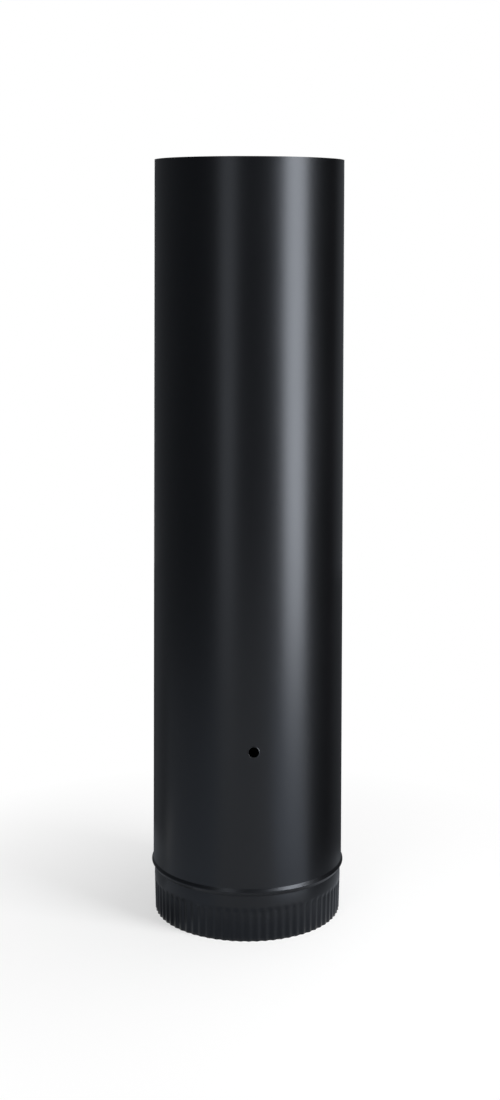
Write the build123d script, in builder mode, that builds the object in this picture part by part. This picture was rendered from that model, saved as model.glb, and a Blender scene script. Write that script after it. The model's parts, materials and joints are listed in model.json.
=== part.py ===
from build123d import *
import os
from math import acos, atan2, cos, degrees, pi, radians, sin, sqrt

# Stove pipe: one length of single-wall flue pipe, rolled from sheet and closed by a snap-lock seam.
# It stands on its crimped end. The origin is at the middle of that end, +Z runs up the pipe's axis,
# the punched hole faces -Y and the seam runs up the back, at +Y. All sizes are in millimetres.

# overall sizes
bore_diameter = 152.4
sheet = 0.6
pipe_length = 609.6

# rolled bead that stops the joint
bead_height = 39.5
bead_rise = 1.3
bead_lead = 2.3
bead_under = 3.7
crown_radius = 1.2

# groove under the bead, and the smooth band below it
root_depth = 1.35
shoulder_length = 4.0
band_step = 1.05

# crimped end
flute_length = 27.0
flute_start = 4.5
flute_pitch = 6.6
flute_depth = 0.85
end_taper = 0.7

# snap-lock seam
seam_width = 11.0
seam_gap = 0.15
seam_foot = 50.0
hook_length = 6.0

# punched hole
hole_diameter = 8.0
hole_height = 149.0

# sizes that follow from the ones above
bore_radius = bore_diameter / 2
body_radius = bore_radius + sheet
band_radius = body_radius - band_step
flute_count = round(2 * pi * band_radius / flute_pitch)
half_pitch = pi / flute_count


def polar(radius, angle):
    """Point at a radius and an angle, in degrees, about the pipe's axis."""
    return (radius * cos(radians(angle)), radius * sin(radians(angle)))


def heading(start, end):
    """Angle, in degrees, of the line from one point to another."""
    return degrees(atan2(end[1] - start[1], end[0] - start[0]))


def touch(centre, radius, point, side):
    """Angle, in degrees, at which a line from a point touches a circle on one side."""
    reach = sqrt((point[0] - centre[0]) ** 2 + (point[1] - centre[1]) ** 2)
    return heading(centre, point) + side * degrees(acos(radius / reach))


def mitre(corner, before, after):
    """Inside corner of the sheet at an outside corner, from the inward headings of its two leaves."""
    share = sheet / (1 + cos(radians(before - after)))
    first = polar(share, before)
    second = polar(share, after)
    return (corner[0] + first[0] + second[0], corner[1] + first[1] + second[1])


def bent_sheet(centre, inside, start, size):
    """One leaf or bend of the sheet: a ring sector one sheet thick, its angles in degrees."""
    with BuildLine() as outline:
        outer = CenterArc(centre, inside + sheet, start, size)
        inner = CenterArc(centre, inside, start, size)
        Line(outer @ 0, inner @ 0)
        Line(outer @ 1, inner @ 1)
    make_face(outline.edges())


def flute_line(height, crest, depth, inset):
    """Closed wavy line of equal tangent arcs round the pipe, with a groove on the hole's side.

    The crest radius and the depth are the outside's; the inset moves the line in by a sheet.
    """
    groove = crest - depth
    joint_radius = crest - inset
    joint_angle = degrees(half_pitch / 2)
    if depth > 0:
        # the radius at which a crest arc and its groove arc touch, from the triangle of their centres
        bend = 2 * (1 - cos(half_pitch))
        slope = 2 * depth * (1 + cos(half_pitch))
        span = crest**2 + groove**2 - 2 * crest * groove * cos(half_pitch)
        arc = (sqrt(slope**2 + 4 * bend * span) - slope) / (2 * bend)
        share = (arc - inset) / (2 * arc)
        groove_x, groove_y = polar(groove + arc, degrees(half_pitch))
        joint_x = crest - arc + share * (groove_x - crest + arc)
        joint_y = share * groove_y
        joint_radius = sqrt(joint_x**2 + joint_y**2)
        joint_angle = heading((0, 0), (joint_x, joint_y))
    arcs = []
    for number in range(flute_count):
        middle = degrees(half_pitch) * (2 * number + 1) - 90
        next_groove = middle + degrees(half_pitch)
        start = polar(joint_radius, middle - joint_angle)
        joint = polar(joint_radius, middle + joint_angle)
        end = polar(joint_radius, 2 * next_groove - middle - joint_angle)
        arcs.append(ThreePointArc(start, polar(crest - inset, middle), joint))
        arcs.append(ThreePointArc(joint, polar(groove - inset, next_groove), end))
    return Pos(0, 0, height) * Wire(arcs)


# the rings where the flutes start, where they have come to their full depth, and at the rim
flute_rings = []
for height, depth in ((flute_length, 0), (flute_length - flute_start, flute_depth), (0, flute_depth)):
    crest = band_radius - end_taper * (1 - height / flute_length)
    outside = flute_line(height, crest, depth, 0)
    inside = flute_line(height, crest, depth, sheet)
    flute_rings.append(Face(outside, [inside]))

with BuildPart() as pipe:
    # crimped end, ruled from ring to ring
    loft(flute_rings, ruled=True)

    # collar: smooth band, groove, bead and the foot of the straight wall
    crown_centre = (body_radius + bead_rise - crown_radius, bead_height)
    lead = (body_radius, bead_height + bead_lead)
    root = (body_radius - root_depth, bead_height - bead_under)
    shoulder = (band_radius, root[1] - shoulder_length)
    lead_turn = touch(crown_centre, crown_radius, lead, -1)
    under_turn = touch(crown_centre, crown_radius, root, 1)
    shoulder_turn = heading(root, shoulder) + 90
    # the point where the bead's two flanks would meet, past its rounded crown
    apex_reach = crown_radius / cos(radians(lead_turn - under_turn) / 2)
    apex_out, apex_up = polar(apex_reach, (lead_turn + under_turn) / 2)
    apex = (crown_centre[0] + apex_out, crown_centre[1] + apex_up)
    band_inside = (band_radius - sheet, flute_length)
    with BuildSketch(Plane.XZ):
        with BuildLine():
            crown = CenterArc(crown_centre, crown_radius, under_turn, lead_turn - under_turn)
            Polyline(crown @ 1, lead, (body_radius, seam_foot), (bore_radius, seam_foot))
            Polyline(crown @ 0, root, shoulder, (band_radius, flute_length), band_inside)
            Polyline(
                (bore_radius, seam_foot),
                mitre(lead, 180, lead_turn + 180),
                mitre(apex, lead_turn + 180, under_turn + 180),
                mitre(root, under_turn + 180, shoulder_turn + 180),
                mitre(shoulder, shoulder_turn + 180, 180),
                band_inside,
            )
        make_face()
    revolve(axis=Axis.Z)

    # straight wall: the rolled sheet, with its two edges locked together outside the bore
    step = sheet + seam_gap
    reach = degrees(seam_width / 2 / body_radius)
    mouth = 90 + reach
    back = 90 - reach
    pocket = 2 * step + seam_gap
    outer_leaf = body_radius + step + pocket
    tongue = body_radius + step + seam_gap
    lip_turn = mouth - degrees(2 * sheet / body_radius)
    tip = lip_turn - degrees(hook_length / body_radius)
    joggle = 1.5 * step
    mouth_radius = body_radius + seam_gap / 2
    joggle_radius = body_radius - sheet / 2 + joggle
    joggle_share = mouth_radius**2 + joggle_radius**2 - (2 * joggle) ** 2
    joggle_start = mouth + degrees(acos(joggle_share / (2 * mouth_radius * joggle_radius)))
    mouth_centre = polar(mouth_radius, mouth)
    joggle_centre = polar(joggle_radius, joggle_start)
    joggle_turn = heading(mouth_centre, joggle_centre)
    with BuildSketch(Plane.XY.offset(seam_foot)):
        # the wall, and the edge folded back and forward again into a pocket with a lip
        bent_sheet((0, 0), bore_radius, joggle_start, 360 + mouth - joggle_start)
        bent_sheet(mouth_centre, seam_gap / 2, mouth, 180)
        bent_sheet((0, 0), body_radius + seam_gap, back, 2 * reach)
        bent_sheet(polar(outer_leaf - pocket / 2, back), pocket / 2, back + 180, 180)
        bent_sheet((0, 0), outer_leaf, back, lip_turn - back)
        bent_sheet(polar(outer_leaf - sheet, lip_turn), sheet, lip_turn, 90)
        # the other edge, stepped out into the pocket, with its hook behind the lip
        bent_sheet(joggle_centre, joggle - sheet / 2, joggle_start + 180, joggle_turn - joggle_start)
        bent_sheet(mouth_centre, joggle - sheet / 2, mouth, joggle_turn - mouth)
        bent_sheet((0, 0), tongue, tip, mouth - tip)
        bent_sheet(polar(tongue + sheet + seam_gap / 2, tip), seam_gap / 2, tip + 180, 180)
        bent_sheet((0, 0), tongue + step, tip, lip_turn - tip)
    extrude(amount=pipe_length - seam_foot)

    # punched hole, through the front wall only
    with BuildSketch(Plane.XZ):
        with Locations((0, hole_height)):
            Circle(hole_diameter / 2)
    extrude(amount=2 * body_radius, mode=Mode.SUBTRACT)

pipe.part.label = "pipe"

os.makedirs("parts", exist_ok=True)
export_step(pipe.part, "parts/pipe.step")
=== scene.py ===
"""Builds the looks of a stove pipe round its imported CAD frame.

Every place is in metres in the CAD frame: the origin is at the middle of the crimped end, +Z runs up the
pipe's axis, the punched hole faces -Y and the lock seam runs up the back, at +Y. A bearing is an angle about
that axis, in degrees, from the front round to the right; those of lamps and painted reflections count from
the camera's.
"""

import json
import logging
from dataclasses import dataclass, field
from enum import IntEnum
from math import acos, atan2, cos, degrees, hypot, pi, radians, sin, tan, tau

import bpy
import numpy as np
from mathutils import Matrix, Vector


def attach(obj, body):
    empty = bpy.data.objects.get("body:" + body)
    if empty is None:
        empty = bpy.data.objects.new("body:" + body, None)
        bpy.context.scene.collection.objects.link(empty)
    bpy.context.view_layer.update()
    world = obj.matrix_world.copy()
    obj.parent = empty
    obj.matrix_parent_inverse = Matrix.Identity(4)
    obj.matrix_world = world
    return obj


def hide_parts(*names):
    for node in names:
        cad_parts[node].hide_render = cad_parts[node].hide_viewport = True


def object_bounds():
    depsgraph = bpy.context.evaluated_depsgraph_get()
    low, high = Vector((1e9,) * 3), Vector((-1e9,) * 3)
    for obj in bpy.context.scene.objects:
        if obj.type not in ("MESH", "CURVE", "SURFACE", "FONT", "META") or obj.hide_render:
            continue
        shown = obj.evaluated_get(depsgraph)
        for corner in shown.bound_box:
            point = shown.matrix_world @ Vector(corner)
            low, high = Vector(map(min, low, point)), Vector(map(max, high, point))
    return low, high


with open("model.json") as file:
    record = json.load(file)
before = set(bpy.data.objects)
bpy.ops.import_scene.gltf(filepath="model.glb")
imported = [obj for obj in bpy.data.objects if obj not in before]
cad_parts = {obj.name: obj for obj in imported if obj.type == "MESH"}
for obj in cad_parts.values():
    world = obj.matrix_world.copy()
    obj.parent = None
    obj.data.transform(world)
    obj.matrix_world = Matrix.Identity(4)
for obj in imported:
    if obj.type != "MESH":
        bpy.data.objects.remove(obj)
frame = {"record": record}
CAD_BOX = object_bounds()

LOG = logging.getLogger("stove_pipe")
MM = 0.001
PHOTO_HEIGHT = 1100
NODE = "pipe"
BODY = "root"

Colour = tuple[float, float, float]
Scales = tuple[float, float, float]
Span = tuple[float, float]


class Coat(IntEnum):
    """Material slot of a face."""

    PAINT = 0
    LINING = 1
    CUT = 2


def mount(name: str) -> dict:
    """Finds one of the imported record's mounts.

    Args:
        name: The mount's name in the record.

    Returns:
        The mount as the record writes it.
    """
    return next(entry for entry in frame["record"]["mounts"] if entry["name"] == name)


def polar(radius: float, angle: float) -> np.ndarray:
    """Gives the point at a radius and an angle about the origin.

    Args:
        radius: Distance from the origin.
        angle: Angle in degrees.

    Returns:
        The point's two coordinates.
    """
    return radius * np.array((cos(radians(angle)), sin(radians(angle))))


def heading(start: np.ndarray, end: np.ndarray) -> float:
    """Gives the angle of the line from one point to another.

    Args:
        start: First point.
        end: Second point.

    Returns:
        The angle in degrees.
    """
    return degrees(atan2(end[1] - start[1], end[0] - start[0]))


def ease(share: np.ndarray) -> np.ndarray:
    """Starts and ends a rise from 0 to 1 smoothly, as s * s * (3 - 2 * s)."""
    return share * share * (3 - 2 * share)


def fillet(
    before: np.ndarray, corner: np.ndarray, after: np.ndarray, radius: float, steps: int
) -> np.ndarray:
    """Rounds one corner of a broken line with an arc that touches both of its runs.

    The arc's centre lies on the line that halves the corner, at radius / sin(half the corner's angle).

    Args:
        before: Point before the corner.
        corner: The corner.
        after: Point after the corner.
        radius: Radius of the arc.
        steps: Number of pieces of the arc.

    Returns:
        The arc's points, one a row.
    """
    back = (before - corner) / np.linalg.norm(before - corner)
    ahead = (after - corner) / np.linalg.norm(after - corner)
    half = acos(float(back @ ahead)) / 2
    middle = (back + ahead) / np.linalg.norm(back + ahead)
    centre = corner + middle * radius / sin(half)
    start = heading(centre, corner + back * radius / tan(half))
    turn = heading(centre, corner + ahead * radius / tan(half)) - start
    turn = (turn + 180) % 360 - 180
    angles = np.radians(np.linspace(start, start + turn, steps + 1))
    return centre + radius * np.stack((np.cos(angles), np.sin(angles)), axis=1)


def stand(bearing: float, distance: float, height: float) -> Vector:
    """Gives the place of something that stands round the pipe.

    Args:
        bearing: Its bearing in degrees.
        distance: How far it is from the pipe's axis.
        height: Its height above the floor.

    Returns:
        The place.
    """
    return Vector((distance * sin(radians(bearing)), -distance * cos(radians(bearing)), height))


def add_object(name: str, data: bpy.types.ID) -> bpy.types.Object:
    """Puts a new object in the scene.

    Args:
        name: The object's name.
        data: Its mesh, lamp or camera.

    Returns:
        The object.
    """
    added = bpy.data.objects.new(name, data)
    bpy.context.scene.collection.objects.link(added)
    return added


@dataclass
class Shell:
    """A surface, gathered from grids of points and welded where their edges meet."""

    points: list[np.ndarray] = field(default_factory=list)
    faces: list[np.ndarray] = field(default_factory=list)
    coats: list[np.ndarray] = field(default_factory=list)
    count: int = 0

    def add_grid(
        self,
        grid: np.ndarray,
        coats: np.ndarray,
        closed: tuple[bool, bool],
        skip: np.ndarray | None = None,
    ) -> None:
        """Adds a grid of points as four-sided faces.

        A face's corners are at (row, column), (row, column + 1), (row + 1, column + 1) and (row + 1, column),
        so it looks along the columns' direction crossed with the rows' direction.

        Args:
            grid: Points, indexed by row, column and coordinate.
            coats: Coat of each face, in a shape that spreads over the grid's faces.
            closed: Whether the rows, and the columns, run round to their start.
            skip: True for each face that is left open, in the same shape as the faces.
        """
        rows, columns = grid.shape[:2]
        row = np.arange(rows if closed[0] else rows - 1)[:, None]
        column = np.arange(columns if closed[1] else columns - 1)[None, :]
        next_row = (row + 1) % rows
        next_column = (column + 1) % columns
        corners = (
            row * columns + column,
            row * columns + next_column,
            next_row * columns + next_column,
            next_row * columns + column,
        )
        faces = np.stack(np.broadcast_arrays(*corners), axis=-1)
        kinds = np.broadcast_to(coats, faces.shape[:2])
        kept = np.ones(faces.shape[:2], bool) if skip is None else ~skip
        self.points.append(grid.reshape(-1, 3))
        self.faces.append(faces[kept] + self.count)
        self.coats.append(kinds[kept])
        self.count += rows * columns

    def weld(self, reach: float = 0.002 * MM) -> tuple[np.ndarray, np.ndarray, np.ndarray]:
        """Joins points that share a place.

        Args:
            reach: Size of the cells that the places are rounded to.

        Returns:
            The points, the faces and the faces' coats.
        """
        points = np.concatenate(self.points)
        cells = np.round(points / reach).astype(np.int64)
        _, first, same = np.unique(cells, axis=0, return_index=True, return_inverse=True)
        return points[first], same.reshape(-1)[np.concatenate(self.faces)], np.concatenate(self.coats)


@dataclass(frozen=True)
class Bend:
    """One arc of the sheet's middle line, seen from above, with its angles in degrees."""

    centre: np.ndarray
    radius: float
    start: float
    sweep: float
    steps: int

    def line(self) -> tuple[np.ndarray, np.ndarray]:
        """Works out the arc's points and the directions of the sheet's left side.

        A point is centre + radius * (cos a, sin a) for angles a from start to start + sweep; the left side
        is towards the centre where the arc turns left, and away from it where it turns right.

        Returns:
            The points and the directions, one a row.
        """
        angles = np.radians(np.linspace(self.start, self.start + self.sweep, self.steps + 1))
        outward = np.stack((np.cos(angles), np.sin(angles)), axis=1)
        return self.centre + self.radius * outward, -np.sign(self.sweep) * outward


@dataclass
class Sheet:
    """Sizes of the rolled sheet that the collar and the wall share.

    The radii and the height are read from the frame.
    """

    thickness: float = 0.6 * MM
    seam_foot: float = 50.0 * MM
    bore_radius: float = mount("socket")["dims"]["r_mm"] * MM
    band_radius: float = mount("spigot")["dims"]["r_mm"] * MM
    crown_reach: float = min(-CAD_BOX[0].x, -CAD_BOX[0].y, CAD_BOX[1].x)
    top: float = CAD_BOX[1].z

    @property
    def body_radius(self) -> float:
        """Outside radius of the straight wall."""
        return self.bore_radius + self.thickness


@dataclass
class Collar:
    """The crimped end with its smooth band, and the rolled bead above it."""

    sheet: Sheet
    bead_height: float = 39.5 * MM
    bead_lead: float = 2.3 * MM
    bead_under: float = 3.7 * MM
    crown_radius: float = 1.2 * MM
    root_depth: float = 1.35 * MM
    shoulder_length: float = 4.0 * MM
    lead_rounding: float = 1.6 * MM
    root_rounding: float = 0.7 * MM
    shoulder_rounding: float = 90.0 * MM
    flute_length: float = 27.0 * MM
    flute_start: float = 4.5 * MM
    flute_depth: float = 0.85 * MM
    flute_pitch: float = 6.6 * MM
    end_taper: float = 0.7 * MM
    uneven: float = 0.1
    seed: int = 7
    columns_each: int = 10
    full_steps: int = 7
    start_steps: int = 8
    corner_steps: int = 6
    crown_steps: int = 12

    def profile(self) -> np.ndarray:
        """Draws the outside line from the rim up to the foot of the wall.

        It is a broken line through the band, the groove's root, the bead's crown and its lead, with each
        corner rounded by an arc. The two flanks touch the crown's circle, so they would meet at
        radius / cos(half the crown's turn) from its centre.

        Returns:
            Radius and height of each point, one a row.
        """
        body = self.sheet.body_radius
        band = self.sheet.band_radius
        centre = np.array((self.sheet.crown_reach - self.crown_radius, self.bead_height))
        top = np.array((body, self.sheet.seam_foot))
        lead = np.array((body, self.bead_height + self.bead_lead))
        root = np.array((body - self.root_depth, self.bead_height - self.bead_under))
        shoulder = np.array((band, root[1] - self.shoulder_length))
        start = np.array((band, self.flute_length))
        lead_turn = heading(centre, lead) - degrees(acos(self.crown_radius / hypot(*(lead - centre))))
        under_turn = heading(centre, root) + degrees(acos(self.crown_radius / hypot(*(root - centre))))
        flank_reach = self.crown_radius / cos(radians(lead_turn - under_turn) / 2)
        crown = centre + polar(flank_reach, (lead_turn + under_turn) / 2)
        full = self.flute_length - self.flute_start
        heights = np.concatenate((
            np.linspace(0, full, self.full_steps + 1)[:-1],
            np.linspace(full, self.flute_length, self.start_steps + 1),
        ))
        crimp = np.stack((band - self.end_taper * (1 - heights / self.flute_length), heights), axis=1)
        return np.concatenate((
            crimp,
            fillet(start, shoulder, root, self.shoulder_rounding, self.corner_steps),
            fillet(shoulder, root, crown, self.root_rounding, self.corner_steps),
            fillet(root, crown, lead, self.crown_radius, self.crown_steps),
            fillet(crown, lead, top, self.lead_rounding, self.corner_steps),
            top[None, :],
        ))

    def outside(self) -> np.ndarray:
        """Carries the profile round the axis and presses the flutes into it.

        At angle a from the hole's side the radius is less by depth * (1 + cos(count * a)) / 2, so a groove
        lies under the hole. The depth grows smoothly from nothing at the top of the flutes to its full size
        a few millimetres down, and differs a little from one flute to the next.

        Returns:
            Grid of points: rows run up the profile and columns run round the axis.
        """
        count = round(tau * self.sheet.band_radius / self.flute_pitch)
        turns = np.arange(count * self.columns_each) / self.columns_each
        grooves = np.random.default_rng(self.seed).uniform(-1, 1, count)
        presses = 1 + self.uneven * np.interp(turns, np.arange(count), grooves, period=count)
        radius, height = self.profile().T[:, :, None]
        fade = ease(np.clip((self.flute_length - height) / self.flute_start, 0, 1))
        groove = self.flute_depth * fade * presses * (1 + np.cos(tau * turns)) / 2
        angle = tau * turns / count - pi / 2
        reach = radius - groove
        return np.stack(np.broadcast_arrays(reach * np.cos(angle), reach * np.sin(angle), height), axis=-1)

    def inside(self, outside: np.ndarray) -> np.ndarray:
        """Sets the sheet's other face one thickness in, square to the outside.

        The direction is the columns' step crossed with the rows' step, made one unit long; the first and last
        rows keep their height.

        Args:
            outside: Grid of the outside's points.

        Returns:
            Grid of the inside's points.
        """
        along = np.gradient(outside, axis=0)
        round_about = np.roll(outside, -1, axis=1) - np.roll(outside, 1, axis=1)
        square = np.cross(round_about, along)
        square /= np.linalg.norm(square, axis=2, keepdims=True)
        inside = outside - self.sheet.thickness * square
        inside[[0, -1], :, 2] = outside[[0, -1], :, 2]
        return inside

    def build(self) -> Shell:
        """Closes the outside and the inside into one shell.

        Returns:
            The collar's shell.
        """
        outside = self.outside()
        inside = self.inside(outside)
        rows = len(outside)
        coats = np.full((2 * rows, 1), Coat.PAINT)
        coats[rows:] = Coat.LINING
        coats[-1] = Coat.CUT
        shell = Shell()
        shell.add_grid(np.concatenate((outside, inside[::-1])), coats, (True, True))
        return shell


@dataclass(frozen=True)
class WallSteps:
    """Number of pieces that each run of the wall's mesh is cut into.

    The joggle's two arcs and the tongue are cut like a leaf.
    """

    lip: int = 6
    outer_leaf: int = 3
    pocket: int = 16
    leaf: int = 8
    hairpin: int = 12
    right_wall: int = 100
    window: int = 14
    left_wall: int = 90
    hook: int = 6
    below: int = 6
    above: int = 23
    rings: int = 5

    @property
    def before_window(self) -> int:
        """Pieces of the sheet's line from the pocket's lip to the window."""
        return self.lip + self.outer_leaf + self.pocket + self.leaf + self.hairpin + self.right_wall


@dataclass
class Wall:
    """The straight wall: the rolled sheet with its two edges locked together outside the bore."""

    sheet: Sheet
    seam_width: float = 11.0 * MM
    seam_gap: float = 0.15 * MM
    hook_length: float = 6.0 * MM
    hole_radius: float = mount("side_hole")["dims"]["r_mm"] * MM
    hole_height: float = mount("side_hole")["pos_m"][2]
    hole_rounding: float = 0.3 * MM
    lip_width: float = 0.55 * MM
    lip_height: float = 0.2 * MM
    window: float = 6.5 * MM
    steps: WallSteps = WallSteps()

    def bends(self) -> list[Bend]:
        """Lists the arcs of the sheet's middle line, from the pocket's lip round the pipe to the hook's end.

        Returns:
            The arcs in order, each starting where the last one ends.
        """
        axis = np.zeros(2)
        half = self.sheet.thickness / 2
        body = self.sheet.body_radius
        layer = self.sheet.thickness + self.seam_gap

        # radii of the bends, and of the leaves that lie round the pipe
        hairpin = layer / 2
        pocket = layer + half + self.seam_gap / 2
        joggle = 1.5 * layer
        lip_radius = 3 * half
        wall = body - half
        middle_leaf = wall + layer
        outer_leaf = middle_leaf + 2 * pocket
        tongue = middle_leaf + layer
        hook = tongue + layer

        # angles of the seam's two sides, the lip, the hook's tip and the window
        reach = degrees(self.seam_width / 2 / body)
        mouth = 90 + reach
        back = 90 - reach
        lip = mouth - degrees(2 * self.sheet.thickness / body)
        tip = lip - degrees(self.hook_length / body)
        window_turn = degrees(self.window / body)
        window_start = window_turn - 90
        window_end = -window_turn - 90

        # the joggle is two equal arcs that touch, the second one about the mouth's centre
        near = wall + hairpin
        far = wall + joggle
        joggle_start = mouth + degrees(acos((near**2 + far**2 - (2 * joggle) ** 2) / (2 * near * far)))
        mouth_centre = polar(near, mouth)
        joggle_centre = polar(far, joggle_start)
        joggle_turn = heading(mouth_centre, joggle_centre)

        steps = self.steps
        return [
            Bend(polar(outer_leaf - lip_radius, lip), lip_radius, lip + 90, -90, steps.lip),
            Bend(axis, outer_leaf, lip, back - lip, steps.outer_leaf),
            Bend(polar(outer_leaf - pocket, back), pocket, back, -180, steps.pocket),
            Bend(axis, middle_leaf, back, mouth - back, steps.leaf),
            Bend(mouth_centre, hairpin, mouth, 180, steps.hairpin),
            Bend(axis, wall, mouth, window_start - mouth, steps.right_wall),
            Bend(axis, wall, window_start, window_end - window_start, steps.window),
            Bend(axis, wall, window_end, joggle_start - 360 - window_end, steps.left_wall),
            Bend(joggle_centre, joggle, joggle_start + 180, joggle_turn - joggle_start, steps.leaf),
            Bend(mouth_centre, joggle, joggle_turn, mouth - joggle_turn, steps.leaf),
            Bend(axis, tongue, mouth, tip - mouth, steps.leaf),
            Bend(polar(tongue + hairpin, tip), hairpin, tip + 180, 180, steps.hairpin),
            Bend(axis, hook, tip, lip - tip, steps.hook),
        ]

    def heights(self) -> np.ndarray:
        """Lists the heights of the wall's rows, close together beside the hole.

        Returns:
            The heights from the seam's foot to the top.
        """
        low = self.hole_height - self.window
        high = self.hole_height + self.window
        below = np.linspace(self.sheet.seam_foot, low, self.steps.below + 1)
        beside = np.linspace(low, high, self.steps.window + 1)
        above = np.linspace(high, self.sheet.top, self.steps.above + 1)
        return np.concatenate((below[:-1], beside, above[1:]))

    def sides(self) -> tuple[np.ndarray, np.ndarray]:
        """Carries the sheet's two faces up the pipe.

        Each is the middle line moved half a thickness to one side, and repeated at every height.

        Returns:
            Grids of the outside's and the inside's points: rows rise and columns run along the sheet.
        """
        lines = [bend.line() for bend in self.bends()]
        middle = np.concatenate([lines[0][0]] + [points[1:] for points, _ in lines[1:]])
        left = np.concatenate([lines[0][1]] + [directions[1:] for _, directions in lines[1:]])
        half = self.sheet.thickness / 2
        heights = self.heights()
        grids = []
        for line in (middle + half * left, middle - half * left):
            flat = np.broadcast_to(line, (len(heights), *line.shape))
            upright = np.broadcast_to(heights[:, None, None], (len(heights), len(line), 1))
            grids.append(np.concatenate((flat, upright), axis=2))
        return grids[0], grids[1]

    def border(self) -> tuple[np.ndarray, np.ndarray]:
        """Lists the grid places of the window's border, in order round it.

        Returns:
            The rows and the columns.
        """
        size = self.steps.window
        along = np.arange(size)
        start = 0 * along
        rows = np.concatenate((start, along, start + size, size - along)) + self.steps.below
        columns = np.concatenate((size - along, start, along, start + size)) + self.steps.before_window
        return rows, columns

    def hole(self, outside: np.ndarray, inside: np.ndarray) -> np.ndarray:
        """Draws the patch that runs from the window's border in over the hole's edge and out behind.

        The rings of the face and of the back are blends, by a share t, of the border and a circle:
        (1 - t) * border + t * circle in x and z, with y on the wall's own circle. Between them the punch
        raises a low lip round the hole and rolls its edge over a quarter of an ellipse.

        Args:
            outside: Border of the window on the outside, one point a row.
            inside: The same border on the inside.

        Returns:
            Grid of points: rows run in through the hole and columns run round it.
        """
        rings = self.steps.rings
        middle = np.array((0.0, self.hole_height))
        across = outside[:, [0, 2]] - middle
        circle = across / np.linalg.norm(across, axis=1, keepdims=True)
        share = np.linspace(0, 1, rings)[:, None, None]
        rise = np.linspace(0, 1, rings + 1)[1:, None, None]
        roll = rise * pi / 2
        rolled = self.hole_radius + self.hole_rounding
        face = outside[:, [0, 2]] * (1 - share) + (middle + circle * (rolled + self.lip_width)) * share
        lip = middle + circle * (rolled + self.lip_width * (1 - rise))
        edge = middle + circle * (self.hole_radius + self.hole_rounding * (1 - np.sin(roll)))
        behind = inside[:, [0, 2]] * share + (middle + circle * self.hole_radius) * (1 - share)
        x, z = np.moveaxis(np.concatenate((face, lip, edge, behind)), -1, 0)
        lift = -self.lip_height * ease(rise)
        fall = (self.hole_rounding + self.lip_height) * (1 - np.cos(roll)) - self.lip_height
        sink = np.concatenate((0 * share, lift, fall, 0 * share))[:, :, 0]
        body = self.sheet.body_radius
        reach = np.repeat((body, body, body, self.sheet.bore_radius), rings)[:, None]
        return np.stack((x, sink - np.sqrt(reach**2 - x**2), z), axis=-1)

    def build(self) -> Shell:
        """Closes the sheet's two faces into one shell and opens the hole in it.

        The columns run along the outside from the hook's end to the lip, and back along the inside. A strip
        closes the sheet at the top and at the foot.

        Returns:
            The wall's shell.
        """
        steps = self.steps
        outside, inside = self.sides()
        rows, columns = self.border()
        patch = self.hole(outside[rows, columns], inside[rows, columns])

        length = outside.shape[1]
        window_outside = length - 1 - steps.before_window - steps.window
        window_inside = length + steps.before_window
        window_rows = slice(steps.below, steps.below + steps.window)
        skip = np.zeros((len(outside) - 1, 2 * length), bool)
        skip[window_rows, window_outside:window_outside + steps.window] = True
        skip[window_rows, window_inside:window_inside + steps.window] = True

        lining_start = window_inside - steps.right_wall
        lining_end = window_inside + steps.window + steps.left_wall
        coats = np.full((1, 2 * length), Coat.PAINT)
        coats[:, lining_start:lining_end] = Coat.LINING
        coats[:, [length - 1, 2 * length - 1]] = Coat.CUT

        # the patch has the same number of rings on its face, its lip, its rolled edge and its back
        cut_ring = 3 * steps.rings - 1
        patch_coats = np.full((len(patch) - 1, 1), Coat.PAINT)
        patch_coats[cut_ring] = Coat.CUT
        patch_coats[cut_ring + 1:] = Coat.LINING

        shell = Shell()
        shell.add_grid(np.concatenate((outside[:, ::-1], inside), axis=1), coats, (False, True), skip)
        shell.add_grid(np.stack((inside[-1], outside[-1])), np.array(Coat.CUT), (False, False))
        shell.add_grid(np.stack((outside[0], inside[0])), np.array(Coat.CUT), (False, False))
        shell.add_grid(patch, patch_coats, (False, True))
        return shell


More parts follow.
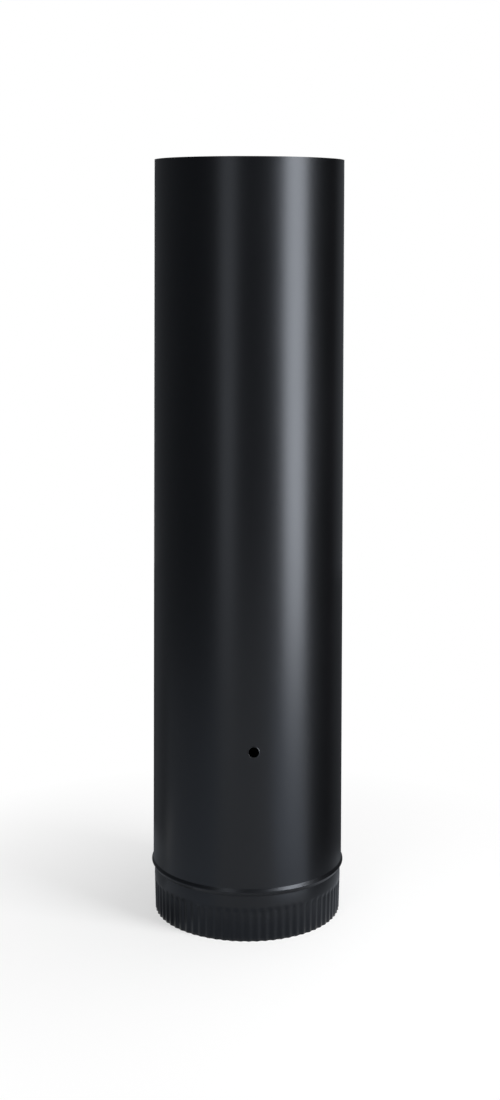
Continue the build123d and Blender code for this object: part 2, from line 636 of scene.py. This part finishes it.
class NodeTree:
    """Short forms for placing and joining the nodes of a material or a world."""

    NOISE_LOW = 0.3
    NOISE_HIGH = 0.7

    def __init__(self, owner: bpy.types.Material | bpy.types.World) -> None:
        """Starts from the nodes that a new material or world has.

        Args:
            owner: The material or world.
        """
        owner.use_nodes = True
        self.tree = owner.node_tree

    @property
    def shader(self) -> bpy.types.Node:
        """A material's surface shader."""
        return self.tree.nodes["Principled BSDF"]

    def set_shader(self, **values: object) -> None:
        """Sets inputs of the surface shader.

        Args:
            values: Values by the inputs' names, in small letters with underscores for spaces.
        """
        titles = {title.lower().replace(" ", "_"): title for title in self.shader.inputs.keys()}
        for name, value in values.items():
            self.shader.inputs[titles[name]].default_value = value

    def add(self, kind: str, **values: object) -> bpy.types.Node:
        """Adds a node.

        Args:
            kind: Blender's name for the kind of node.
            values: Values of its inputs, or of its own settings where it has no such input.

        Returns:
            The node.
        """
        node = self.tree.nodes.new(kind)
        for name, value in values.items():
            title = name.replace("_", " ").title()
            if title in node.inputs:
                node.inputs[title].default_value = value
            else:
                setattr(node, name, value)
        return node

    def join(self, source: bpy.types.NodeSocket, target: bpy.types.NodeSocket) -> None:
        """Joins an output to an input."""
        self.tree.links.new(source, target)

    def combine(
        self, operation: str, first: bpy.types.NodeSocket, second: bpy.types.NodeSocket
    ) -> bpy.types.NodeSocket:
        """Works two values into one.

        Args:
            operation: Blender's name for the arithmetic.
            first: The first value.
            second: The second value.

        Returns:
            The result.
        """
        node = self.add("ShaderNodeMath", operation=operation)
        self.join(first, node.inputs[0])
        self.join(second, node.inputs[1])
        return node.outputs["Value"]

    def seen_rays(self) -> bpy.types.NodeSocket:
        """Adds a switch that is 1 for camera, glossy and transmission rays and 0 for the rest.

        Returns:
            The switch's output.
        """
        path = self.add("ShaderNodeLightPath")
        seen = self.combine("MAXIMUM", path.outputs["Is Camera Ray"], path.outputs["Is Glossy Ray"])
        return self.combine("MAXIMUM", seen, path.outputs["Is Transmission Ray"])

    def noise(self, scale: float, detail: float, stretch: Scales = (1, 1, 1)) -> bpy.types.NodeSocket:
        """Adds a noise on Object coordinates.

        Args:
            scale: Noise cells to the metre.
            detail: Number of finer layers.
            stretch: Scale of the coordinates along each axis.

        Returns:
            The noise's output, from 0 to 1.
        """
        place = self.add("ShaderNodeTexCoord")
        mapping = self.add("ShaderNodeMapping", scale=stretch)
        noise = self.add("ShaderNodeTexNoise", scale=scale, detail=detail)
        self.join(place.outputs["Object"], mapping.inputs["Vector"])
        self.join(mapping.outputs["Vector"], noise.inputs["Vector"])
        return noise.outputs["Fac"]

    def spread(self, value: bpy.types.NodeSocket, low: float, high: float) -> bpy.types.NodeSocket:
        """Maps the middle of a noise, where most of its values lie, onto a range.

        Args:
            value: The noise.
            low: Result at the middle's low end.
            high: Result at its high end.

        Returns:
            The result.
        """
        node = self.add(
            "ShaderNodeMapRange", from_min=self.NOISE_LOW, from_max=self.NOISE_HIGH, to_min=low, to_max=high
        )
        self.join(value, node.inputs["Value"])
        return node.outputs["Result"]

    def blend(self, share: bpy.types.NodeSocket, first: Colour, second: Colour) -> bpy.types.NodeSocket:
        """Mixes two colours.

        Args:
            share: How much of the second colour there is.
            first: The first colour.
            second: The second colour.

        Returns:
            The mixed colour.
        """
        node = self.add("ShaderNodeMix", data_type="RGBA")
        node.inputs["A"].default_value = (*first, 1)
        node.inputs["B"].default_value = (*second, 1)
        self.join(share, node.inputs["Factor"])
        return node.outputs["Result"]

    def bump(self, height: bpy.types.NodeSocket, strength: float, distance: float) -> None:
        """Roughens the surface.

        Args:
            height: The height's pattern, from 0 to 1.
            strength: How much of the bump shows.
            distance: Height of a bump, in metres.
        """
        node = self.add("ShaderNodeBump", strength=strength, distance=distance)
        self.join(height, node.inputs["Height"])
        self.join(node.outputs["Normal"], self.shader.inputs["Normal"])


@dataclass(frozen=True)
class SatinPaint:
    """Baked black paint with a fine, even grain.

    Its tone runs in patches from colour to pale, and its roughness from smooth to rough. The scales and the
    grain are noise cells to the metre.
    """

    name: str
    colour: Colour
    pale: Colour
    smooth: float
    rough: float
    grain: float
    grain_height: float
    grain_detail: float = 2
    grain_strength: float = 0.5
    patch_scale: float = 14
    patch_detail: float = 3
    gloss_scale: float = 22
    gloss_detail: float = 4
    gloss_stretch: Scales = (1, 1, 0.25)
    specular: float = 0.3
    tint: Colour = (0.84, 0.90, 1.0)

    def material(self) -> bpy.types.Material:
        """Makes the paint: patches of tone, longer ones of gloss up the pipe, and a grain in the bump.

        Returns:
            The material.
        """
        paint = bpy.data.materials.new(self.name)
        nodes = NodeTree(paint)
        nodes.set_shader(specular_ior_level=self.specular, specular_tint=(*self.tint, 1))
        patches = nodes.noise(self.patch_scale, self.patch_detail)
        tone = nodes.blend(nodes.spread(patches, 0, 1), self.colour, self.pale)
        nodes.join(tone, nodes.shader.inputs["Base Color"])
        gloss = nodes.noise(self.gloss_scale, self.gloss_detail, self.gloss_stretch)
        nodes.join(nodes.spread(gloss, self.smooth, self.rough), nodes.shader.inputs["Roughness"])
        nodes.bump(nodes.noise(self.grain, self.grain_detail), self.grain_strength, self.grain_height)
        return paint


@dataclass(frozen=True)
class CutSteel:
    """Bare sheared edge of the steel sheet, with its marks' noise cells to the metre."""

    name: str = "cut_steel"
    colour: Colour = (0.10, 0.10, 0.105)
    pale: Colour = (0.24, 0.24, 0.25)
    smooth: float = 0.35
    rough: float = 0.6
    mark_scale: float = 900
    mark_detail: float = 3

    def material(self) -> bpy.types.Material:
        """Makes the steel: light and dark shear marks about a millimetre long.

        Returns:
            The material.
        """
        steel = bpy.data.materials.new(self.name)
        nodes = NodeTree(steel)
        nodes.set_shader(metallic=1.0)
        marks = nodes.noise(self.mark_scale, self.mark_detail)
        tone = nodes.blend(nodes.spread(marks, 0, 1), self.colour, self.pale)
        nodes.join(tone, nodes.shader.inputs["Base Color"])
        nodes.join(nodes.spread(marks, self.smooth, self.rough), nodes.shader.inputs["Roughness"])
        return steel


@dataclass
class StovePipe:
    """The whole pipe: one sheet, with its collar and its wall."""

    sheet: Sheet = field(default_factory=Sheet)
    crease_angle: float = 35.0
    paint: SatinPaint = SatinPaint(
        name="black_paint",
        colour=(0.0010, 0.0010, 0.0012),
        pale=(0.0016, 0.0016, 0.0019),
        smooth=0.30,
        rough=0.33,
        grain=1100,
        grain_height=0.004 * MM,
    )
    lining: SatinPaint = SatinPaint(
        name="black_lining",
        colour=(0.010, 0.010, 0.012),
        pale=(0.016, 0.016, 0.018),
        smooth=0.42,
        rough=0.52,
        grain=800,
        grain_height=0.008 * MM,
    )
    edge: CutSteel = CutSteel()

    def build(self) -> bpy.types.Object:
        """Joins the collar's and the wall's shells into one object.

        Returns:
            The pipe's object.
        """
        points, faces, coats = [], [], []
        count = 0
        for part in (Collar(self.sheet), Wall(self.sheet)):
            part_points, part_faces, part_coats = part.build().weld()
            points.append(part_points)
            faces.append(part_faces + count)
            coats.append(part_coats)
            count += len(part_points)
            LOG.info("%s: %d points, %d faces", type(part).__name__, len(part_points), len(part_faces))
        mesh = bpy.data.meshes.new("pipe_sheet")
        mesh.from_pydata(np.concatenate(points).tolist(), [], np.concatenate(faces).tolist())
        mesh.polygons.foreach_set("material_index", np.concatenate(coats).astype(np.int32))
        mesh.shade_smooth()
        mesh.set_sharp_from_angle(angle=radians(self.crease_angle))
        pipe = add_object("pipe_sheet", mesh)
        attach(pipe, BODY)
        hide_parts(NODE)
        return pipe

    def dress(self, pipe: bpy.types.Object) -> None:
        """Gives the pipe its finishes, in the order of the coats.

        Args:
            pipe: The pipe's object.
        """
        for finish in (self.paint, self.lining, self.edge):
            pipe.data.materials.append(finish.material())
            LOG.info("finish %s", finish.name)


@dataclass(frozen=True)
class PhotoCamera:
    """The photograph's camera: where it stands, how it is turned in degrees, and the row its axis meets."""

    bearing: float = -3.53
    distance: float = 1374.2 * MM
    height: float = 553.2 * MM
    pan: float = -0.03
    tilt: float = 1.908
    roll: float = 0.183
    focal_pixels: float = 1693.9
    axis_row: float = 286.2
    sensor_width: float = 36.0

    def place(self) -> bpy.types.Object:
        """Makes the scene's camera.

        Returns:
            The camera's object.
        """
        data = bpy.data.cameras.new("photo_camera")
        data.sensor_width = self.sensor_width
        data.lens = self.focal_pixels / PHOTO_HEIGHT * self.sensor_width
        data.shift_y = (self.axis_row - PHOTO_HEIGHT / 2) / PHOTO_HEIGHT
        camera = add_object("photo_camera", data)
        turned = radians(self.bearing + self.pan)
        level = Vector((cos(turned), sin(turned), 0))
        ahead = Matrix.Rotation(-radians(self.tilt), 3, level) @ Vector((-sin(turned), cos(turned), 0))
        upright = level.cross(ahead)
        right = cos(radians(self.roll)) * level + sin(radians(self.roll)) * upright
        upward = right.cross(ahead)
        camera.matrix_world = Matrix((right, upward, -ahead)).transposed().to_4x4()
        camera.location = stand(self.bearing, self.distance, self.height)
        bpy.context.scene.camera = camera
        return camera


@dataclass(frozen=True)
class SoftBox:
    """A soft white lamp: where it stands from the pipe, its size and its brightness."""

    name: str
    bearing: float
    distance: float
    height: float
    width: float
    tall: float
    radiance: float
    aim_height: float = 0.3

    def place(self, camera_bearing: float) -> None:
        """Makes the lamp, turned to the pipe's axis.

        A flat lamp of one radiance gives pi * area * radiance of power.

        Args:
            camera_bearing: The camera's own bearing, in degrees.
        """
        data = bpy.data.lights.new(self.name, "AREA")
        data.shape = "RECTANGLE"
        data.size = self.width
        data.size_y = self.tall
        data.energy = pi * self.width * self.tall * self.radiance
        lamp = add_object(self.name, data)
        lamp.location = stand(self.bearing + camera_bearing, self.distance, self.height)
        towards = Vector((0, 0, self.aim_height)) - lamp.location
        lamp.rotation_euler = towards.to_track_quat("-Z", "Y").to_euler()
        lamp.visible_camera = False
        LOG.info("lamp %s", self.name)


@dataclass(frozen=True)
class PaintedReflection:
    """A painted reflection: a glowing panel that only glossy rays meet, part of a cone about the pipe,
    between two bearings. A dim glow paints shade into the pipe's reflections and a bright one paints
    highlights.

    The radii and the heights are those of its foot and its top, and its top is turned on by the lean, in
    degrees. Its glow runs from the first bearing to the last.
    """

    name: str
    bearings: Span
    radii: Span
    heights: Span
    glows: Span
    lean: float = 0.0
    colour: Colour = (0.93, 0.99, 1.08)
    rows: int = 9
    columns: int = 49

    def grid(self, camera_bearing: float) -> np.ndarray:
        """Works out the panel's points.

        A point is (radius * sin b, -radius * cos b, height) for bearings b.

        Args:
            camera_bearing: The camera's own bearing, in degrees.

        Returns:
            Grid of points: rows run from the foot to the top and columns run round.
        """
        share = np.linspace(0, 1, self.rows)[:, None]
        turned = np.linspace(*self.bearings, self.columns) + camera_bearing
        bearing = np.radians(turned + self.lean * share)
        radius = np.linspace(*self.radii, self.rows)[:, None]
        height = np.linspace(*self.heights, self.rows)[:, None]
        return np.stack(
            np.broadcast_arrays(radius * np.sin(bearing), -radius * np.cos(bearing), height), axis=-1
        )

    def levels(self) -> np.ndarray:
        """Glow of each of the grid's points, in even steps from the first bearing to the last."""
        return np.tile(np.linspace(*self.glows, self.columns), self.rows)


# radii and heights that the painted reflections share, from foot to top
ROOM = (3.2, 3.2)
ROOM_HEIGHTS = (-3.0, 4.0)
BESIDE = (0.17, 0.17)
WHOLE_HEIGHT = (0.0, 0.8)
LOW_HEIGHT = (0.0, 0.25)
AT_RIM = (0.077, 0.115)
PAST_RIM = (0.115, 0.17)
ON_FLOOR = (0.5 * MM, 0.5 * MM)


@dataclass(frozen=True)
class Studio:
    """A pale floor and background, soft lamps, and glowing panels that only gloss can see, which paint shade
    and highlights into the pipe's reflections.
    """

    floor_side: float = 0.6
    floor_front: float = 1.1
    floor_back: float = 1.0
    floor_steps: int = 8
    floor_colour: Colour = (0.9, 0.9, 0.9)
    shade_share: float = 0.45
    shade_near: float = 0.1
    shade_far: float = 0.36
    dark_radius: float = 0.0735
    fill: float = 0.3
    panel_base_colour: Colour = (0.01, 0.01, 0.01)
    # glowing panels that only glossy rays meet: painted shade and painted highlights in the pipe's
    # reflections
    painted_reflections: tuple[PaintedReflection, ...] = (
        # a dim room round the pipe, seen only in its reflections: painted reflection, darker towards the back
        # on both sides
        PaintedReflection("round_left", (-166, -105), ROOM, ROOM_HEIGHTS, (0.105, 0.185)),
        PaintedReflection("round_painted_reflection", (-105, 100), ROOM, ROOM_HEIGHTS, (0.185, 0.185)),
        PaintedReflection("round_right", (100, 166), ROOM, ROOM_HEIGHTS, (0.11, 0.185)),
        # standing beside the pipe, seen only in its reflections: dim glows that paint shade into them
        PaintedReflection("side_painted_shade", (61.5, 98), BESIDE, WHOLE_HEIGHT, (0.01, 0.01), lean=11.3),
        PaintedReflection("low_painted_shade", (98, 155), BESIDE, LOW_HEIGHT, (0.1, 0.1)),
        PaintedReflection("low_left", (205, 232), BESIDE, LOW_HEIGHT, (0.055, 0.07)),
        PaintedReflection("left_painted_shade", (232, 268), BESIDE, LOW_HEIGHT, (0.14, 0.18)),
        PaintedReflection("left_foot", (215, 268), (0.168, 0.168), (0.0, 0.022), (0.15, 0.35)),
        # bright strips seen only in the pipe's reflections: painted highlights, one widening the key lamp's
        # highlight and one lighting the seam at the back
        PaintedReflection("key_shoulder", (31, 40), (1.0, 1.0), (0.3, 1.0), (1.3, 1.3)),
        PaintedReflection("back_strip", (168, 192), (0.22, 0.22), WHOLE_HEIGHT, (4.5, 4.5), colour=(1.0, 1.0, 1.0)),
        # laid on the floor and seen only in the pipe's reflection: the dim ones paint the floor's shade round
        # the pipe's foot, and the two key ones paint the floor lit by the key lamp
        PaintedReflection("front_floor_painted_shade", (-50, 124), AT_RIM, ON_FLOOR, (0.58, 0.58)),
        PaintedReflection("heel_floor_painted_shade", (124, 155), AT_RIM, ON_FLOOR, (0.24, 0.24)),
        PaintedReflection("heel_left", (205, 310), AT_RIM, ON_FLOOR, (0.24, 0.24)),
        PaintedReflection("side_floor_painted_shade", (58, 124), PAST_RIM, ON_FLOOR, (0.4, 0.4)),
        PaintedReflection("back_floor_painted_shade", (124, 155), PAST_RIM, ON_FLOOR, (0.2, 0.2)),
        PaintedReflection("back_left", (205, 268), PAST_RIM, ON_FLOOR, (0.2, 0.2)),
        PaintedReflection("left_floor_painted_shade", (268, 330), (0.115, 0.3), ON_FLOOR, (0.5, 0.9)),
        PaintedReflection("far_floor_painted_shade", (236, 330), (0.3, 0.8), ON_FLOOR, (0.25, 0.85)),
        # painted pool of light: the floor lit by the key lamp, as the pipe's reflection shows it
        PaintedReflection("key_floor_painted_light", (28, 64), (0.16, 0.24), ON_FLOOR, (1.4, 1.4)),
        PaintedReflection("key_painted_light_pool", (28, 64), (0.24, 0.85), ON_FLOOR, (1.7, 1.7)),
    )
    lamps: tuple[SoftBox, ...] = (
        SoftBox("key_strip", bearing=55.5, distance=1.0, height=0.44, width=0.475, tall=0.95, radiance=14.8),
        SoftBox("front_strip", bearing=-24.5, distance=2.2, height=0.8, width=0.7, tall=2.6, radiance=2.1),
        SoftBox("overhead", bearing=150.0, distance=0.6, height=2.4, width=1.6, tall=1.6, radiance=1.2),
    )

    def light_world(self) -> None:
        """Makes the background white where it is seen, and a grey fill where it only lights."""
        world = bpy.data.worlds.new("studio")
        nodes = NodeTree(world)
        back = nodes.tree.nodes["Background"]
        level = nodes.add("ShaderNodeMapRange", to_min=self.fill, to_max=1.0)
        nodes.join(nodes.seen_rays(), level.inputs["Value"])
        back.inputs["Color"].default_value = (1, 1, 1, 1)
        nodes.join(level.outputs["Result"], back.inputs["Strength"])
        bpy.context.scene.world = world

    def staged(self, name: str, grid: np.ndarray) -> bpy.types.Object:
        """Makes a surface that isn't part of the pipe.

        Args:
            name: The object's name.
            grid: Its points, indexed by row, column and coordinate.

        Returns:
            The object.
        """
        shell = Shell()
        shell.add_grid(grid, np.array(0), (False, False))
        mesh = bpy.data.meshes.new(name)
        mesh.from_pydata(shell.points[0].tolist(), [], shell.faces[0].tolist())
        surface = add_object(name, mesh)
        return surface

    def lay_floor(self) -> None:
        """Lays the floor: a pale matt sheet that keeps the pipe's shadow, and glows white away from it.

        It has no glow inside the pipe, where no lamp reaches it.
        """
        x, y = np.meshgrid(
            np.linspace(-self.floor_side, self.floor_side, self.floor_steps + 1),
            np.linspace(-self.floor_front, self.floor_back, self.floor_steps + 1),
        )
        floor = self.staged("floor", np.stack((x, y, 0 * x), axis=-1))
        sheet = bpy.data.materials.new("floor_sheet")
        nodes = NodeTree(sheet)
        nodes.set_shader(base_color=(*self.floor_colour, 1), roughness=1.0, specular_ior_level=0.0)
        white = nodes.add("ShaderNodeEmission")
        place = nodes.add("ShaderNodeTexCoord")
        away = nodes.add("ShaderNodeVectorMath", operation="LENGTH")
        nodes.join(place.outputs["Object"], away.inputs[0])
        fade = nodes.add("ShaderNodeMapRange", from_min=self.shade_near, from_max=self.shade_far)
        fade.inputs["To Min"].default_value = 1 - self.shade_share
        nodes.join(away.outputs["Value"], fade.inputs["Value"])
        outside = nodes.add("ShaderNodeMath", operation="GREATER_THAN")
        outside.inputs[1].default_value = self.dark_radius
        nodes.join(away.outputs["Value"], outside.inputs[0])
        glow = nodes.combine("MULTIPLY", fade.outputs["Result"], outside.outputs["Value"])
        share = nodes.combine("MULTIPLY", glow, nodes.seen_rays())
        mix = nodes.add("ShaderNodeMixShader")
        nodes.join(share, mix.inputs[0])
        nodes.join(nodes.shader.outputs["BSDF"], mix.inputs[1])
        nodes.join(white.outputs["Emission"], mix.inputs[2])
        nodes.join(mix.outputs["Shader"], nodes.tree.nodes["Material Output"].inputs["Surface"])
        floor.data.materials.append(sheet)

    def hang(self, panel: PaintedReflection, camera_bearing: float) -> None:
        """Hangs or lays a glowing panel that only glossy rays meet: a painted reflection.

        Args:
            panel: The painted reflection.
            camera_bearing: The camera's own bearing, in degrees.
        """
        panel_object = self.staged(panel.name, panel.grid(camera_bearing))
        glows = panel_object.data.attributes.new("glow", "FLOAT", "POINT")
        glows.data.foreach_set("value", panel.levels().astype(np.float32))
        painted_reflection_material = bpy.data.materials.new(panel.name)
        nodes = NodeTree(painted_reflection_material)
        nodes.set_shader(base_color=(*self.panel_base_colour, 1), specular_ior_level=0.0)
        nodes.set_shader(emission_color=(*panel.colour, 1))
        glow = nodes.add("ShaderNodeAttribute", attribute_name="glow")
        nodes.join(glow.outputs["Fac"], nodes.shader.inputs["Emission Strength"])
        panel_object.data.materials.append(painted_reflection_material)
        # only glossy rays meet the panel, so its glow is painted light or shade in the pipe's reflections
        panel_object.visible_camera = False
        panel_object.visible_diffuse = False
        panel_object.visible_transmission = False
        panel_object.visible_shadow = False
        LOG.info("cloth %s", panel.name)

    def build(self, camera_bearing: float) -> None:
        """Sets the studio up round the pipe.

        Args:
            camera_bearing: The camera's own bearing, in degrees.
        """
        self.light_world()
        self.lay_floor()
        for panel in self.painted_reflections:
            self.hang(panel, camera_bearing)
        for lamp in self.lamps:
            lamp.place(camera_bearing)


def main() -> None:
    """Builds and dresses the pipe, then the studio and the camera."""
    logging.basicConfig(level=logging.INFO, format="%(name)s: %(message)s")
    stove_pipe = StovePipe()
    stove_pipe.dress(stove_pipe.build())
    camera = PhotoCamera()
    camera.place()
    Studio().build(camera.bearing)
    bpy.context.scene.view_settings.view_transform = "Standard"


if __name__ == "__main__":
    main()
